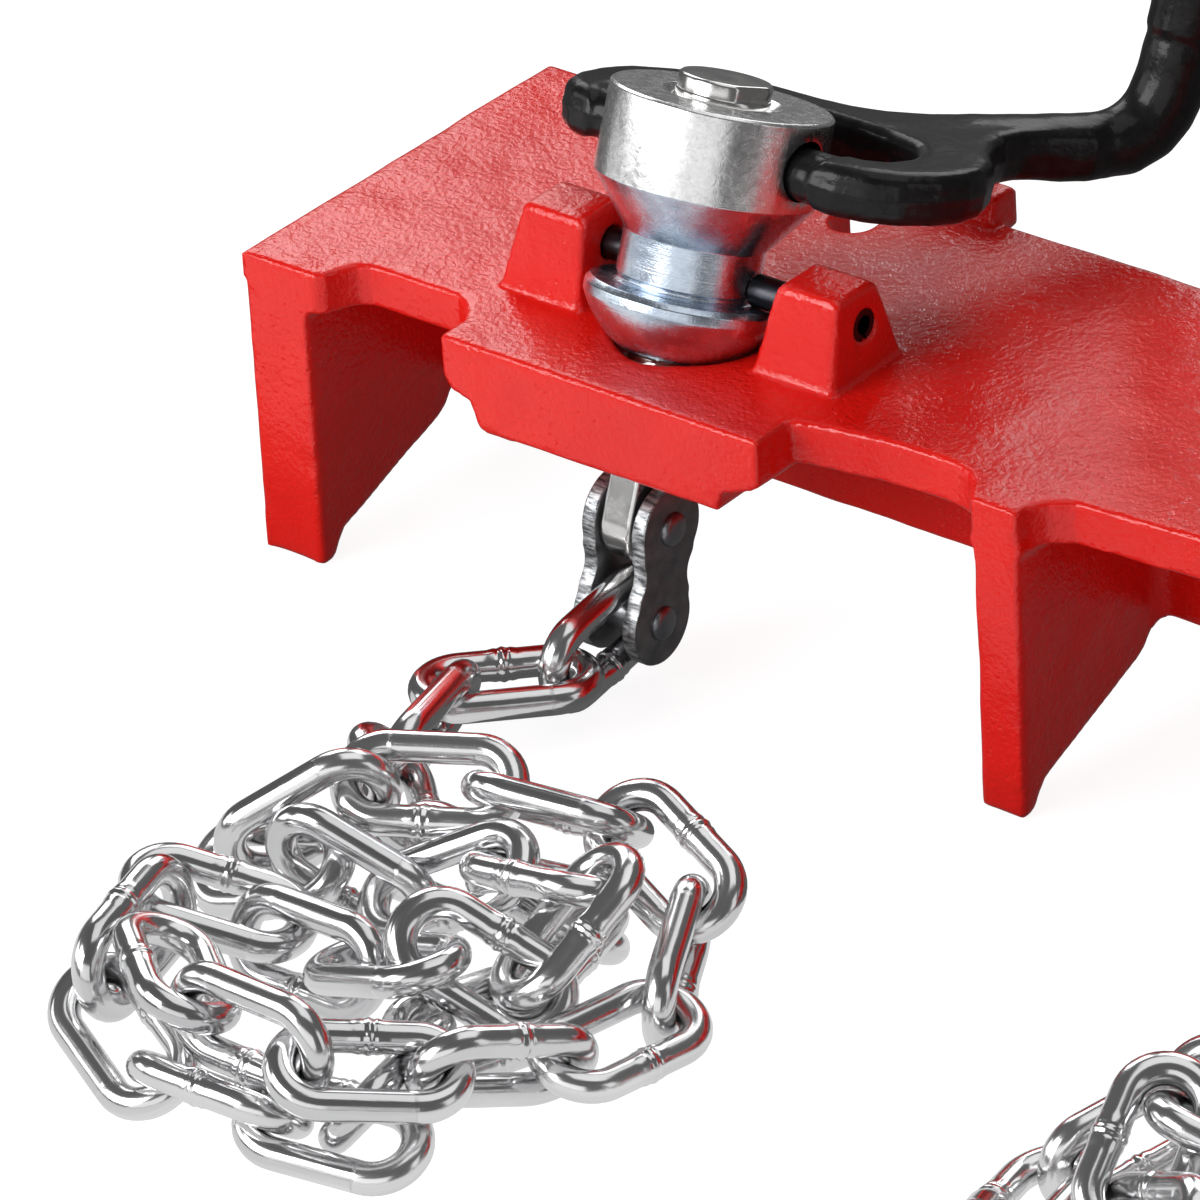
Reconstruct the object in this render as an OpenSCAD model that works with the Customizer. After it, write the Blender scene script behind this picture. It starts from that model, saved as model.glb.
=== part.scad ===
// Pipe welding vise: a casting that stands on four notched webs, with two
// swivelling nuts, clamp screws, crank handles and lengths of link chain.
// +Z is up, X runs along the frame, the chains lie on the -Y side.
// The origin is on the floor under the middle of the whole footprint.

/* [Frame] */
// Length of the casting
frame_l = 440; // [436:1:450]
// Width over the webs
frame_w = 94; // [93:0.5:96]
// Height of the top plate above the floor
plate_h = 65; // [64:0.5:66]
// Thickness of the top plate
plate_t = 9; // [8:0.5:10]
// Thickness of the end webs
end_web_t = 15; // [13:0.5:16]
// Thickness of the inner webs
inner_web_t = 9.8; // [8.8:0.1:10.8]
// Outer face of the inner web from the end of the casting
inner_web_x = 172.5; // [172:0.5:174]
// Front faces of the webs from the middle of the footprint
frame_y = 8.7; // [8:0.1:9.4]
// Thickness of the centre rib
rib_t = 8; // [6:0.5:9]

/* [Screw station] */
// Screw station from the end of the casting
station_x = 90.25; // [90:0.25:90.75]
// Tilt of the nut and the screw in the seat, top towards +Y
tilt = 22; // [21.5:0.1:22]
// Radius of the spherical seat
seat_r = 21.5; // [21.5:0.05:21.7]
// Radius of the clamp screw
screw_r = 10; // [9.95:0.01:10]
// Radius of the bore in the nut
bore_r = 10.05; // [10.05:0.01:10.1]
// Diameter of the pins that hold the nut down
keeper_d = 6.35; // [6:0.05:6.35]
// Height of the pin lugs above the plate
lug_h = 18.3; // [17.8:0.1:18.8]

/* [Crank handle] */
// Diameter of the forged bar
bar_d = 10.3; // [10:0.1:10.3]
// Slope of the handle's eye, down towards +Y
handle_slope = 15; // [14.6:0.1:15]
// Height of the grip's top above the eye
grip_top = 122; // [118:1:126]

/* [Chain] */
// Wire of the chain
wire_d = 6; // [5.9:0.1:6]
// Outer length of a link
link_l = 37; // [37:0.1:37.1]
// Outer width of a link
link_w = 20.5; // [20.5:0.1:20.6]
// Links in the loose part of each chain
loose_links = 30; // [10:1:30]

/* [Hidden] */
$fn = 48;

red = [0.80, 0.07, 0.06];
plated = [0.80, 0.82, 0.85];
oxide = [0.30, 0.31, 0.33];
black = [0.06, 0.06, 0.065];
zinc = [0.78, 0.79, 0.81];

// Drawing coordinates: x from the end of the casting, y from the crank side
// face of the webs, z from the top of the plate.
module place() { translate([-frame_l / 2, frame_y, plate_h]) children(); }
// One half of the symmetrical casting and its opposite half.
module both() { children(); mirror([1, 0, 0]) children(); }
// The right station lies as far from the middle as the left one.
pitch = frame_l - 2 * station_x;

function arc(c, r, a0, a1, n) = [for (i = [0:n]) c + r * [cos(a0 + (a1 - a0) * i / n), sin(a0 + (a1 - a0) * i / n)]];

// ---------------------------------------------------------------- casting
mid_x = frame_l / 2;
web_x1 = inner_web_x + inner_web_t;
recess = 9;
far_y = frame_w - 5.7;

// Outline of the left half of the plate: crank side edge, then the far edge.
plate_outline = concat(
    [[0, 0], [17.5, 0]], [[19.4, 1.4], [20.6, 4.6], [22.2, 7.6], [24.5, 8.8]],
    [[28, recess], [46, recess], [49, 7.3], [51.5, 4.8], [53, 2.5]],
    [[53, 0.2], [127.8, 0.2], [127.8, 4.4], [131.5, 5.6], [136, 6.6], [146, 8.3], [158, recess]],
    [[163, 8.8], [166.5, 7.6], [169, 5.6], [171, 2], [inner_web_x, 0]],
    [[web_x1, 0], [web_x1 + 0.4, 3], [web_x1 + 2.4, 6.2], [web_x1 + 6.7, recess], [215, 10.8], [mid_x + 1, 10.9]],
    [[mid_x + 1, far_y], [web_x1 + 8, far_y], [web_x1 + 4, far_y + 1.6], [web_x1 + 1.5, frame_w], [inner_web_x - 1.5, frame_w]],
    [[inner_web_x - 4, far_y + 1.6], [inner_web_x - 8, far_y], [118, far_y], [115, far_y], [113.5, frame_w - 1], [111, frame_w]],
    [[69.5, frame_w], [67, frame_w - 1], [65.5, far_y], [62.5, far_y]],
    [[24, far_y], [20, far_y + 1.6], [17, frame_w], [0, frame_w]]);

// Web seen along the frame: two feet, two shallow wings and a steep notch.
notch_y = frame_w / 2;
half_web = [[0, 0], [0, -plate_h], [3, -plate_h], [4.4, 0.8 - plate_h], [5.6, 3 - plate_h], [7.4, 5.2 - plate_h],
            [37, -49], [39.5, -47.4], [41, -45.2], [45.2, -39.2], [notch_y, -38]];
web_outline = concat(half_web, [for (i = [len(half_web) - 2:-1:0]) [frame_w - half_web[i][0], half_web[i][1]]]);
module web(x, t) { translate([x, 0, 0]) rotate([90, 0, 90]) linear_extrude(t) polygon(web_outline); }

// Front view of the screw boss: a tab with a block under it.
boss_outline = [[53, 0], [53.2, -9], [55.1, -11.4], [59.2, -12.3], [60.4, -15.2], [61, -17.2], [62.6, -18.2],
                [118, -17.6], [118.8, -13.8], [125.5, -11.4], [127.8, -9.8], [127.8, 0]];
hole_r = 11;

// A lug is the overlap of its front view and its side view.
module lug(front, side) {
    intersection() {
        translate([0, 60, 0]) rotate([90, 0, 0]) linear_extrude(60) polygon(front);
        translate([40, 0, 0]) rotate([90, 0, 90]) linear_extrude(100) polygon(side);
    }
}
lug_side = [[15.5, -1], [15.6, 0], [18.6, lug_h - 1.2], [19.6, lug_h], [29.6, lug_h], [31.4, lug_h - 1.8], [37.4, 0], [37.5, -1]];
left_lug = [[50.2, -1], [50.4, 0], [54.7, lug_h - 1.3], [56.2, lug_h], [68.6, lug_h], [69.7, lug_h - 1.4], [69.8, -1]];
right_lug = [[110.4, -1], [110.6, 0], [114.7, lug_h - 1.4], [116, lug_h], [127.8, lug_h], [129.2, lug_h - 1.3], [129.6, 0], [129.6, -1]];
keeper_y = 26.7;
keeper_z = 10.1;
seat_y = 25.4;
seat_z = 13.2;

// Hook at the far edge: a slot between two raised horns.
hook_w = 9.2;
hook_y = 69.5;
horn = [[80, -3.3], [84.6, -3.3], [84.6, 0], [86.2, 5.2], [87.4, 5.9], [92.4, 5.9], [frame_w, 4.6], [frame_w, -3.3]];

module half_casting() {
    difference() {
        union() {
            translate([0, 0, -plate_t]) linear_extrude(plate_t) polygon(plate_outline);
            web(0, end_web_t);
            web(inner_web_x, inner_web_t);
            // centre rib between the webs
            translate([end_web_t - 1, notch_y - rib_t / 2, -42]) cube([mid_x - end_web_t + 2, rib_t, 42 - plate_t + 1]);
            // screw boss
            translate([0, 46, 0]) rotate([90, 0, 0]) linear_extrude(46 + 5.3) polygon(boss_outline);
            lug(left_lug, lug_side);
            lug(right_lug, lug_side);
            // raised horns of the chain hook
            translate([65, 0, 0]) rotate([90, 0, 90]) linear_extrude(50) polygon([for (p = horn) [p[0], max(p[1], -3)]]);
        }
        // spherical seat, cut below the lugs only
        intersection() {
            translate([station_x, seat_y, seat_z]) sphere(r = seat_r, $fn = 96);
            translate([station_x - 30, -10, -30]) cube([60, 70, 30.4]);
        }
        // upright hole under the seat, and a tilted one that lets the shackle rise
        translate([station_x, seat_y - 0.7, -50]) cylinder(r = hole_r, h = 50.6);
        on_axis() translate([0, 0, -70]) cylinder(r = 10.6, h = 44);
        on_axis() translate([0, 0, -70]) cylinder(r = 11.8, h = 36.8);
        // pin holes through the lugs
        translate([40, keeper_y, keeper_z]) rotate([0, 90, 0]) cylinder(d = keeper_d, h = 36);
        translate([105, keeper_y, keeper_z]) rotate([0, 90, 0]) cylinder(d = keeper_d, h = 36);
        // chain hook slot, and the relief under its horns
        translate([station_x - hook_w / 2, hook_y + hook_w / 2, -20]) cube([hook_w, 40, 40]);
        translate([station_x, hook_y + hook_w / 2, -20]) cylinder(d = hook_w, h = 40);
        translate([64, 80, -20]) cube([52, 30, 16.7]);
    }
}
module frame_casting() {
    color(red) both() place() intersection() {
        half_casting();
        translate([-1, -20, -plate_h - 1]) cube([mid_x + 1, frame_w + 40, plate_h + 60]);
    }
}

// Rolled pin with an open slit.
module keeper(x0, x1) {
    translate([x0, keeper_y, keeper_z]) rotate([0, 90, 0]) difference() {
        cylinder(d = keeper_d, h = x1 - x0);
        translate([0, 0, -1]) cylinder(r = 1.9, h = x1 - x0 + 2);
        translate([0, -0.5, -1]) cube([5, 1, x1 - x0 + 2]);
    }
}
module keepers() { keeper(54.2, 76.4); keeper(104.1, 128.8); }

// ---------------------------------------------------------------- nut and screw
ball_y = 29.2;
ball_z = 24.2;
// Tilted axis of the nut: z is measured along it from the ball's centre.
module on_axis() { translate([station_x, ball_y, ball_z]) rotate([-tilt, 0, 0]) children(); }
ball_r = 20.7;
ball_h = -12;
nut_bottom = -29.7;
band_z = -20.4;
cross_z = 10.6;
cross_r = 5.85;
ball_a0 = acos((ball_h - nut_bottom) / ball_r);
ball_a1 = acos((ball_h - band_z) / ball_r);
ball_arc = [for (i = [0:8]) let (a = ball_a0 + (ball_a1 - ball_a0) * i / 8) [ball_r * sin(a), ball_h - ball_r * cos(a)]];
nut_profile = concat([[bore_r, nut_bottom + 0.5], [bore_r + 0.4, nut_bottom]], ball_arc,
    [[18.9, -20], [18.9, -18.2], [18.2, -17.5], [14, -17.3], [13.2, -16.8], [13.2, -16.2], [13.6, -15.8], [13.6, -7.5],
     [21.3, 2.5], [21.3, 19], [20.8, 19.5], [11.4, 19.5], [bore_r, 18.2]]);
module swivel_nut() {
    on_axis() difference() {
        rotate_extrude($fn = 96) polygon(nut_profile);
        for (s = [-1, 1]) translate([s * 16, 0, cross_z]) rotate([0, 90, 0]) cylinder(r = cross_r, h = 14, center = true);
    }
}

screw_top = 19;
stub_top = 23.3;
tongue_z = -61.9;
tongue_r = 8;
tongue_t = 7;
shoulder_z = -46;
eye_pin_r = 3.4;
module clamp_screw() {
    on_axis() difference() {
        union() {
            translate([0, 0, shoulder_z]) cylinder(r = screw_r, h = screw_top - shoulder_z);
            translate([0, 0, screw_top - 1]) cylinder(r = 8.7, h = stub_top - screw_top + 1);
            intersection() {
                translate([-tongue_t / 2, -tongue_r, tongue_z]) cube([tongue_t, 2 * tongue_r, shoulder_z - tongue_z + 1]);
                translate([0, 0, tongue_z - 1]) cylinder(r = screw_r, h = 30);
            }
            translate([0, 0, tongue_z]) rotate([0, 90, 0]) cylinder(r = tongue_r, h = tongue_t, center = true);
        }
        translate([0, 0, tongue_z]) rotate([0, 90, 0]) cylinder(r = eye_pin_r + 0.05, h = 30, center = true);
    }
}

// ---------------------------------------------------------------- shackle
pin_gap = 18.8;
eye_y = ball_y + tongue_z * sin(tilt);
eye_z = ball_z + tongue_z * cos(tilt);
hang = 13;
plate_in = 4.3;
shackle_t = 3.2;
// z hangs down from the tongue pin along the shackle, x is the frame's x.
module on_shackle() { translate([station_x, eye_y, eye_z]) rotate([180 - hang, 0, 0]) children(); }
module shackle_plate(s) {
    translate([s * (plate_in + shackle_t / 2), 0, 0]) difference() {
        rotate([0, 90, 0]) translate([0, 0, -shackle_t / 2]) linear_extrude(shackle_t) difference() {
            union() {
                circle(r = 8.5);
                translate([-pin_gap, 0]) circle(r = 8.5);
                translate([-pin_gap, -7.6]) square([pin_gap, 15.2]);
            }
            for (t = [-1, 1]) translate([-pin_gap / 2, t * 12.6]) circle(r = 6.2);
        }
        for (z = [0, pin_gap]) translate([0, 0, z]) rotate([0, 90, 0]) cylinder(r = eye_pin_r, h = 10, center = true);
    }
}
module shackle_pin(z) {
    translate([0, 0, z]) rotate([0, 90, 0]) cylinder(r = eye_pin_r, h = 2 * (plate_in + shackle_t + 1.4), center = true);
}

// ---------------------------------------------------------------- crank handle
peg_drop = 0.6;
peg_y = ball_y + cross_z * sin(tilt);
peg_z = ball_z + cross_z * cos(tilt) - peg_drop;
// x along the pegs from the nut's axis, y out along the handle, z up from its eye.
module on_handle() { translate([station_x, peg_y, peg_z]) rotate([-handle_slope, 0, 0]) children(); }
eye_outer = [[-26, -5.15], [-31, -4.2], [-35, -1.2], [-37, 4], [-36.6, 10], [-34, 17], [-28.5, 23.5], [-20.5, 28.8],
             [-11, 31.8], [0, 32.8], [6, 34.3], [12, 37.5], [17, 42.5], [21, 48.5], [26.5, 58], [33.5, 70.5], [40.3, 82],
             [43.5, 84.5], [48, 84.5], [52, 81], [52.6, 76.5], [51, 73],
             [44, 62], [38.8, 53.5], [36.6, 48], [36, 43], [37.5, 37.5], [41, 31.5], [45, 26.5], [47.8, 20], [48.2, 14],
             [46.5, 7.5], [42.5, 1.5], [37, -2.8], [31, -4.7], [26, -5.15]];
eye_inner = [[26, 5.15], [30, 5.6], [33, 8.2], [34.2, 13], [33, 18], [29.4, 22.2], [22, 24.2], [10, 24.2], [0, 23.8],
             [-6, 23], [-12, 20.6], [-18, 16.2], [-23, 10.8], [-25.6, 7], [-26, 5.15]];
riser_lean = 7;
riser_x = 46.4;
riser_y = 77.6;
riser_r = 6.6;
peg_d = bar_d - 0.2;
grip = [[0, -4], [riser_r, -4], [riser_r, 27], [7.4, 32], [9.4, 36.4], [11.6, 40], [12.6, 45], [12.8, 60], [12.4, 80], [11.6, 100],
        [10.6, grip_top - 12], [8.6, grip_top - 5.5], [5.2, grip_top - 1.2], [0, grip_top]];
module crank_handle() {
    on_handle() {
        translate([0, 0, -bar_d / 2]) linear_extrude(bar_d) polygon(concat(eye_outer, eye_inner));
        for (s = [-1, 1]) translate([s * 19.1, 0, 0]) rotate([0, 90, 0]) cylinder(d = peg_d, h = 16, center = true);
        translate([riser_x, riser_y, 0]) rotate([-riser_lean * 0.87, riser_lean * 0.5, 0]) rotate_extrude() polygon(grip);
    }
}

// ---------------------------------------------------------------- chain
wire_r = wire_d / 2;
bend_r = (link_w - wire_d) / 2;
leg_h = (link_l - link_w) / 2;
// Links meet wire on wire: 31 between the wire centres of an upright link,
// 18 between the two wires that a flat link holds.
up_l = link_l - wire_d;
flat_l = link_l - 3 * wire_d - 1;

module chain_link() {
    for (s = [-1, 1]) {
        translate([-leg_h, s * bend_r, 0]) rotate([0, 90, 0]) cylinder(r = wire_r, h = 2 * leg_h, $fn = 24);
        translate([s * leg_h, 0, 0]) rotate([0, 0, s * 90 - 180]) rotate_extrude(angle = 180, $fn = 32) translate([bend_r, 0]) circle(r = wire_r, $fn = 24);
    }
}
// A link between two points, flat (roll 0) or upright (roll 90).
module link_on(p, q, roll) {
    d = q - p;
    translate((p + q) / 2) rotate([0, 0, atan2(d[1], d[0])]) rotate([0, -atan2(d[2], norm([d[0], d[1]])), 0]) rotate([roll, 0, 0]) chain_link();
}

floor_z = -plate_h;
chain_pin_y = eye_y - pin_gap * sin(hang);
chain_pin_z = eye_z - pin_gap * cos(hang);
loose_z = floor_z + 10.4;
// Low wire of the first link and the wires at the two ends of the second.
low_wire = [station_x, -21.7, floor_z + 9.8];
hang_dir = (low_wire - [station_x, chain_pin_y, chain_pin_z]) / norm(low_wire - [station_x, chain_pin_y, chain_pin_z]);
second_a = [station_x, -21.7, loose_z];
second_b = second_a + flat_l * [-0.716, -0.698, 0];

// The loose links lie in an oval spiral that runs inwards.
oval_c = [112, -100];
oval_a = 72;
oval_b = 73;
oval_drop = 22;
oval_t = 142;
function on_oval(t) = [oval_c[0] + (oval_a - (t - oval_t) / 360 * oval_drop) * cos(t),
                       oval_c[1] + (oval_b - (t - oval_t) / 360 * oval_drop) * sin(t), loose_z];
function chord(t, u, l, k) = k == 0 ? u : chord(t, t + (u - t) * l / norm(on_oval(u) - on_oval(t)), l, k - 1);
function angles(t, k, n) = k == n ? [t] : concat([t], angles(chord(t, t + 24, k % 2 == 0 ? flat_l : up_l, 8), k + 1, n));
loose_t = angles(oval_t, 0, loose_links - 1);

module first_link() { link_on(low_wire - up_l * hang_dir, low_wire, 90); }
module second_link() { link_on(second_a, second_b, 0); }
module loose_chain() {
    link_on(second_b, on_oval(loose_t[0]), 90);
    for (k = [0:loose_links - 2]) link_on(on_oval(loose_t[k]), on_oval(loose_t[k + 1]), k % 2 == 0 ? 0 : 90);
}

// ---------------------------------------------------------------- nodes
module left() { place() children(); }
module right() { translate([pitch, 0, 0]) place() children(); }
module right_mirrored() { mirror([1, 0, 0]) place() children(); }

module left_keeper_pins() { color(oxide) left() keepers(); }
module left_swivel_nut() { color(plated) left() swivel_nut(); }
module left_clamp_screw() { color(plated) left() clamp_screw(); }
module left_crank_handle() { color(black) left() crank_handle(); }
module left_shackle_plate_a() { color(oxide) left() on_shackle() shackle_plate(-1); }
module left_shackle_plate_b() { color(oxide) left() on_shackle() shackle_plate(1); }
module left_tongue_pin() { color(oxide) left() on_shackle() shackle_pin(0); }
module left_chain_pin() { color(oxide) left() on_shackle() shackle_pin(pin_gap); }
module left_first_link() { color(zinc) left() first_link(); }
module left_second_link() { color(zinc) left() second_link(); }
module left_chain() { color(zinc) left() loose_chain(); }
module right_keeper_pins() { color(oxide) right_mirrored() keepers(); }
module right_swivel_nut() { color(plated) right() swivel_nut(); }
module right_clamp_screw() { color(plated) right() clamp_screw(); }
module right_crank_handle() { color(black) right() crank_handle(); }
module right_shackle_plate_a() { color(oxide) right() on_shackle() shackle_plate(-1); }
module right_shackle_plate_b() { color(oxide) right() on_shackle() shackle_plate(1); }
module right_tongue_pin() { color(oxide) right() on_shackle() shackle_pin(0); }
module right_chain_pin() { color(oxide) right() on_shackle() shackle_pin(pin_gap); }
module right_first_link() { color(zinc) right_mirrored() first_link(); }
module right_second_link() { color(zinc) right_mirrored() second_link(); }
module right_chain() { color(zinc) right_mirrored() loose_chain(); }

frame_casting();
left_keeper_pins();
left_swivel_nut();
left_clamp_screw();
left_crank_handle();
left_shackle_plate_a();
left_shackle_plate_b();
left_tongue_pin();
left_chain_pin();
left_first_link();
left_second_link();
left_chain();
right_keeper_pins();
right_swivel_nut();
right_clamp_screw();
right_crank_handle();
right_shackle_plate_a();
right_shackle_plate_b();
right_tongue_pin();
right_chain_pin();
right_first_link();
right_second_link();
right_chain();
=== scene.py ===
import math

import bmesh
import bpy
import numpy as np
from mathutils import Matrix, Vector


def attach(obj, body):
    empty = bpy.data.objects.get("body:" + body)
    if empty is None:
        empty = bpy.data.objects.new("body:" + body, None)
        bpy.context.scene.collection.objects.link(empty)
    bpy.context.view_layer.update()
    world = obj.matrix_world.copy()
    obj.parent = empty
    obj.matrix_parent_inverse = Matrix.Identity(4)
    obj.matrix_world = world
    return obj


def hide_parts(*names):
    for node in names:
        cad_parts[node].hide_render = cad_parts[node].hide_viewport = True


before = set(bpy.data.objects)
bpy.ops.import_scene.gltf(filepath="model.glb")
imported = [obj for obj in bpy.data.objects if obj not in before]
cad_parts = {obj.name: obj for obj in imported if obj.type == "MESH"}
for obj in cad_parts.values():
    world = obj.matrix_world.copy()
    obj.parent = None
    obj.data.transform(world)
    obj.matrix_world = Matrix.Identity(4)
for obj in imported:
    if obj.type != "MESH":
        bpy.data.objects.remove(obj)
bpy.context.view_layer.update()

MM = 0.001

# Drawing coordinates in mm: x from the end of the casting, y from the front of
# the webs, z from the top of the plate. The row frame is this much further on.
SHIFT = np.array([-220.0, 8.7, 65.0])
STATION = 90.25
BALL = np.array([STATION, 29.2, 24.2])
TILT = math.radians(22)
PITCH = 259.5


def rot_x(a):
    c, s = math.cos(a), math.sin(a)
    return np.array([[1, 0, 0], [0, c, -s], [0, s, c]])


# ------------------------------------------------------------------ materials
def new_material(name):
    m = bpy.data.materials.new(name)
    m.use_nodes = True
    nt = m.node_tree
    return m, nt, nt.nodes["Principled BSDF"]


def add(nt, kind, **inputs):
    n = nt.nodes.new(kind)
    for k, v in inputs.items():
        key = k.replace("_", " ")
        if key in n.inputs:
            n.inputs[key].default_value = v
        else:
            setattr(n, k, v)
    return n


def ramp(nt, fac, stops, interpolation="LINEAR"):
    r = nt.nodes.new("ShaderNodeValToRGB")
    r.color_ramp.interpolation = interpolation
    while len(r.color_ramp.elements) < len(stops):
        r.color_ramp.elements.new(0.5)
    for e, (p, c) in zip(r.color_ramp.elements, stops):
        e.position = p
        e.color = (c, c, c, 1) if isinstance(c, (int, float)) else (*c, 1)
    nt.links.new(fac, r.inputs["Fac"])
    return r.outputs["Color"]


def maths(nt, op, a, b=None):
    n = nt.nodes.new("ShaderNodeMath")
    n.operation = op
    for i, v in enumerate((a, b)):
        if v is None:
            continue
        if isinstance(v, (int, float)):
            n.inputs[i].default_value = v
        else:
            nt.links.new(v, n.inputs[i])
    return n.outputs[0]


def mix_col(nt, fac, a, b, blend="MIX"):
    n = nt.nodes.new("ShaderNodeMix")
    n.data_type = "RGBA"
    n.blend_type = blend
    for key, v in ((0, fac), (6, a), (7, b)):
        if isinstance(v, (int, float)):
            n.inputs[key].default_value = v
        elif isinstance(v, tuple):
            n.inputs[key].default_value = (*v, 1)
        else:
            nt.links.new(v, n.inputs[key])
    return n.outputs[2]


def coords(nt, scale=(1, 1, 1), uv=False):
    c = nt.nodes.new("ShaderNodeTexCoord")
    m = nt.nodes.new("ShaderNodeMapping")
    m.inputs["Scale"].default_value = scale
    nt.links.new(c.outputs["UV" if uv else "Object"], m.inputs["Vector"])
    return m.outputs["Vector"]


def noise(nt, vec, scale, detail=2.0, rough=0.5, distortion=0.0):
    n = add(nt, "ShaderNodeTexNoise", Scale=scale, Detail=detail, Roughness=rough, Distortion=distortion)
    nt.links.new(vec, n.inputs["Vector"])
    return n.outputs["Fac"]


def voronoi(nt, vec, scale, feature="F1", randomness=1.0):
    n = add(nt, "ShaderNodeTexVoronoi", Scale=scale, Randomness=randomness)
    n.feature = feature
    nt.links.new(vec, n.inputs["Vector"])
    return n.outputs["Distance"]


def bump(nt, bsdf, height, distance, strength=1.0, normal=None):
    b = add(nt, "ShaderNodeBump", Strength=strength, Distance=distance)
    nt.links.new(height, b.inputs["Height"])
    if normal is not None:
        nt.links.new(normal, b.inputs["Normal"])
    nt.links.new(b.outputs["Normal"], bsdf.inputs["Normal"])
    return b.outputs["Normal"]


def red_casting():
    m, nt, p = new_material("red_casting")
    v = coords(nt)
    tone = noise(nt, v, 35, 3, 0.6)
    nt.links.new(ramp(nt, tone, [(0.3, (0.78, 0.006, 0.004)), (0.7, (0.87, 0.012, 0.006))]), p.inputs["Base Color"])
    p.inputs["Roughness"].default_value = 0.3
    p.inputs["Coat Weight"].default_value = 0.8
    p.inputs["Coat Roughness"].default_value = 0.07
    p.inputs["Specular IOR Level"].default_value = 0.12
    # broad waves of the poured face, then the peel of the coat, then pits
    wave = noise(nt, v, 90, 2, 0.5)
    peel = noise(nt, v, 780, 3, 0.6)
    pits = voronoi(nt, v, 560)
    cover = ramp(nt, noise(nt, v, 60, 2, 0.5), [(0.42, 0.0), (0.6, 1.0)])
    pit = maths(nt, "MULTIPLY", ramp(nt, pits, [(0.0, 1.0), (0.32, 0.0)]), cover)
    h = maths(nt, "ADD", maths(nt, "MULTIPLY", wave, 1.3), maths(nt, "MULTIPLY", peel, 0.75))
    h = maths(nt, "SUBTRACT", h, maths(nt, "MULTIPLY", pit, 0.42))
    b = bump(nt, p, h, 0.0003, 1.0)
    nt.links.new(b, p.inputs["Coat Normal"])
    return m


def metal(name, light, dark, rough, scale=1.0, stretch=(1, 1, 1), grain=0.000012, tint=None, uv=False, contrast=0.1, specks=0.0):
    m, nt, p = new_material(name)
    v = coords(nt, stretch, uv)
    fine = noise(nt, v, 900 * scale, 3, 0.6)
    broad = noise(nt, v, 160 * scale, 3, 0.6)
    col = mix_col(nt, ramp(nt, broad, [(0.3, 0.0), (0.7, 1.0)]), dark, light)
    if tint:
        col = mix_col(nt, ramp(nt, noise(nt, coords(nt), 55, 2, 0.5), [(0.35, 0.0), (0.65, 0.8)]), col, tint)
    if specks:
        spot = ramp(nt, noise(nt, coords(nt), 1500, 2, 0.6), [(0.66, 0.0), (0.72, specks)])
        col = mix_col(nt, spot, col, tuple(0.25 * c for c in dark))
    nt.links.new(col, p.inputs["Base Color"])
    p.inputs["Metallic"].default_value = 1.0
    r = maths(nt, "ADD", maths(nt, "MULTIPLY", broad, contrast * 2), rough - contrast)
    nt.links.new(r, p.inputs["Roughness"])
    bump(nt, p, maths(nt, "ADD", fine, maths(nt, "MULTIPLY", broad, 0.8)), grain, 1.0)
    return m


def plated_nut():
    # scuffed bright head, bluer cone, neck and ball with fine turned lines
    m, nt, p = new_material("bright_plated_steel")
    v = coords(nt)
    s = nt.nodes.new("ShaderNodeSeparateXYZ")
    nt.links.new(v, s.inputs[0])
    along = maths(nt, "ADD", maths(nt, "MULTIPLY", s.outputs["Y"], math.sin(NUT_LEAN)), maths(nt, "MULTIPLY", s.outputs["Z"], math.cos(NUT_LEAN)))
    up = maths(nt, "MULTIPLY", maths(nt, "SUBTRACT", along, NUT_ZERO), 20)
    low = ramp(nt, up, [(0.045, 1.0), (0.055, 0.0)])
    c = nt.nodes.new("ShaderNodeCombineXYZ")
    nt.links.new(along, c.inputs["X"])
    rings = noise(nt, c.outputs[0], 2600, 2, 0.6)
    scuff = noise(nt, v, 520, 4, 0.7, 0.6)
    broad = noise(nt, v, 130, 3, 0.6)
    head = mix_col(nt, ramp(nt, scuff, [(0.36, 0.0), (0.62, 1.0)]), (0.70, 0.70, 0.70), (0.90, 0.90, 0.90))
    cold = mix_col(nt, ramp(nt, broad, [(0.35, 0.0), (0.62, 1.0)]), (0.48, 0.56, 0.68), (0.72, 0.80, 0.90))
    nt.links.new(mix_col(nt, low, head, cold), p.inputs["Base Color"])
    p.inputs["Metallic"].default_value = 1.0
    nt.links.new(maths(nt, "ADD", maths(nt, "MULTIPLY", scuff, 0.22), 0.14), p.inputs["Roughness"])
    h = maths(nt, "ADD", maths(nt, "MULTIPLY", scuff, 1.0), maths(nt, "MULTIPLY", maths(nt, "MULTIPLY", rings, low), 0.5))
    bump(nt, p, h, 0.00007, 1.0)
    return m


def black_forging():
    m, nt, p = new_material("black_forging")
    v = coords(nt)
    tone = noise(nt, v, 260, 3, 0.6)
    nt.links.new(ramp(nt, tone, [(0.35, (0.006, 0.006, 0.0065)), (0.75, (0.014, 0.014, 0.015))]), p.inputs["Base Color"])
    p.inputs["Roughness"].default_value = 0.34
    p.inputs["Specular IOR Level"].default_value = 0.12
    p.inputs["Coat Weight"].default_value = 0.28
    p.inputs["Coat Roughness"].default_value = 0.16
    waves = noise(nt, v, 120, 3, 0.55)
    grit = noise(nt, v, 900, 2, 0.6)
    h = maths(nt, "ADD", maths(nt, "MULTIPLY", waves, 1.0), maths(nt, "MULTIPLY", grit, 0.16))
    b = bump(nt, p, h, 0.00030, 1.0)
    nt.links.new(b, p.inputs["Coat Normal"])
    return m


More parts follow.
